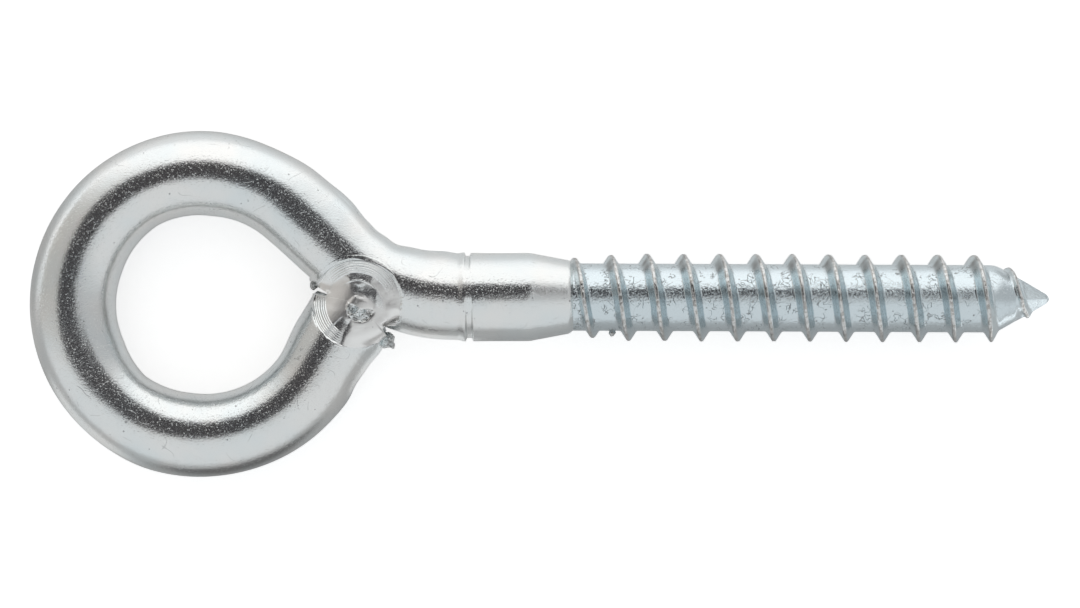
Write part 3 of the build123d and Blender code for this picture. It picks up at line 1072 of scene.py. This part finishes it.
def makeFloor():
    # The camera sees a plain pale floor. The metal mirrors it in another tone, painted light and
    # shade that change from one side to the other and under the patches.
    size, z = studio["floorSize"], low[2]
    points = np.array([[-size, -size, z], [size, -size, z], [size, size, z], [-size, size, z]])
    floor = makeMesh("floor", points, [np.array([[0, 1, 2, 3]])])
    material = bpy.data.materials.new("paleFloor")
    tree, add, maths, spread, _, mixed = nodeMaker(material)
    shader = tree.nodes["Principled BSDF"]
    shader.inputs["Roughness"].default_value = 0.9
    shader.inputs["Specular IOR Level"].default_value = 0.0
    light = add("ShaderNodeLightPath", {})
    place = add("ShaderNodeTexCoord", {}).outputs["Object"]
    placeY = add("ShaderNodeSeparateXYZ", {0: place}).outputs["Y"]
    tone = spread(placeY, studio["shadeFrom"] * mm, studio["shadeTo"] * mm,
                  studio["litFloor"], studio["shadeFloor"], "SMOOTHSTEP")
    shine = spread(placeY, studio["farFrom"] * mm, studio["farTo"] * mm,
                   studio["mirroredGlow"], studio["farGlow"], "SMOOTHERSTEP")
    for (x, y), (halfX, halfY), patchTone, patchGlow in mirroredShadePatches:
        middle = [v * mm for v in (x, y, low[2])]
        half = (halfX * mm, halfY * mm, 1)
        away = add("ShaderNodeVectorMath", {0: place, 1: middle}, operation="SUBTRACT")
        scaled = add("ShaderNodeVectorMath", {0: away.outputs[0], 1: half}, operation="DIVIDE")
        reach = add("ShaderNodeVectorMath", {0: scaled.outputs[0]}, operation="LENGTH")
        inside = spread(reach.outputs["Value"], 1.0, 0.45, shape="SMOOTHSTEP")
        tone = mixed(tone, patchTone, inside)
        shine = maths("MULTIPLY_ADD", inside, patchGlow, shine)
    inMetal = light.outputs["Is Glossy Ray"]
    tree.links.new(mixed(studio["floor"], tone, inMetal), shader.inputs["Base Color"])
    mirrored = maths("MULTIPLY", inMetal, shine)
    glow = maths("MULTIPLY_ADD", light.outputs["Is Camera Ray"], studio["floorGlow"], mirrored)
    shader.inputs["Emission Color"].default_value = (1, 1, 1, 1)
    tree.links.new(glow, shader.inputs["Emission Strength"])
    floor.data.materials.append(material)


def makeWorld():
    # a plain studio: bright overhead towards +Y, dimmer at the sides, cool towards -Y
    world = bpy.data.worlds.new("studio")
    bpy.context.scene.world = world
    tree, add, maths, spread, tinted, _ = nodeMaker(world)
    place = add("ShaderNodeTexCoord", {}).outputs["Generated"]
    split = add("ShaderNodeSeparateXYZ", {0: place})
    sideways = maths("ABSOLUTE", split.outputs["X"])
    ahead = maths("MULTIPLY_ADD", sideways, -studio["topNarrow"], split.outputs["Y"])
    up = spread(ahead, 0.02, 0.62, shape="SMOOTHSTEP")
    down = spread(split.outputs["Y"], 0.0, -0.35, shape="SMOOTHSTEP")
    across = spread(split.outputs["X"], -0.3, 0.3)
    sides = tinted((*studio["leftSide"], 1), (*studio["rightSide"], 1), across)
    whole = tinted(tinted(sides, (*studio["below"], 1), down), (*studio["topBox"], 1), up)
    # the camera sees white
    light = add("ShaderNodeLightPath", {})
    seen = tinted(whole, (1, 1, 1, 1), light.outputs["Is Camera Ray"])
    tree.links.new(seen, tree.nodes["Background"].inputs["Color"])


def makeFlag():
    # a dark card round the lens, which the polished bar mirrors as its dark streak
    points = np.array([(x, y, studio["flagHeight"]) for x, y in studio["flagOutline"]], dtype=float)
    flag = makeMesh("lensFlag", points, [np.arange(len(points))[None, ::-1]])
    material = bpy.data.materials.new("darkCard")
    tree, add = nodeMaker(material)[:2]
    tree.nodes.remove(tree.nodes["Principled BSDF"])
    glow = add("ShaderNodeEmission", {"Strength": 1.0, "Color": (*studio["flagGlow"], 1)})
    tree.links.new(glow.outputs[0], tree.nodes["Material Output"].inputs["Surface"])
    flag.data.materials.append(material)
    flag.visible_camera = False
    flag.visible_diffuse = False
    flag.visible_shadow = False


def makeCamera():
    camera = bpy.data.cameras.new("camera")
    camera.sensor_width = studio["sensor"]
    camera.lens = studio["sensor"] * studio["cameraHeight"] / studio["frameWidth"]
    camera.clip_start, camera.clip_end = 0.01, 10.0
    seat = bpy.data.objects.new("camera", camera)
    seat.location = [v * mm for v in (*studio["centre"], studio["cameraHeight"])]
    bpy.context.scene.collection.objects.link(seat)
    bpy.context.scene.camera = seat


pieces = [bentBar(), weldPiece(), threadedEnd()] + [flashPiece(what) for what in flash]
finish = zincPlate()
for piece in pieces:
    piece.data.materials.append(finish)
    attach(piece, "root")
    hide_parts("screw_eye")

makeFloor()
makeWorld()
makeFlag()
makeCamera()
bpy.context.scene.view_settings.view_transform = "Standard"
print("scene ready")
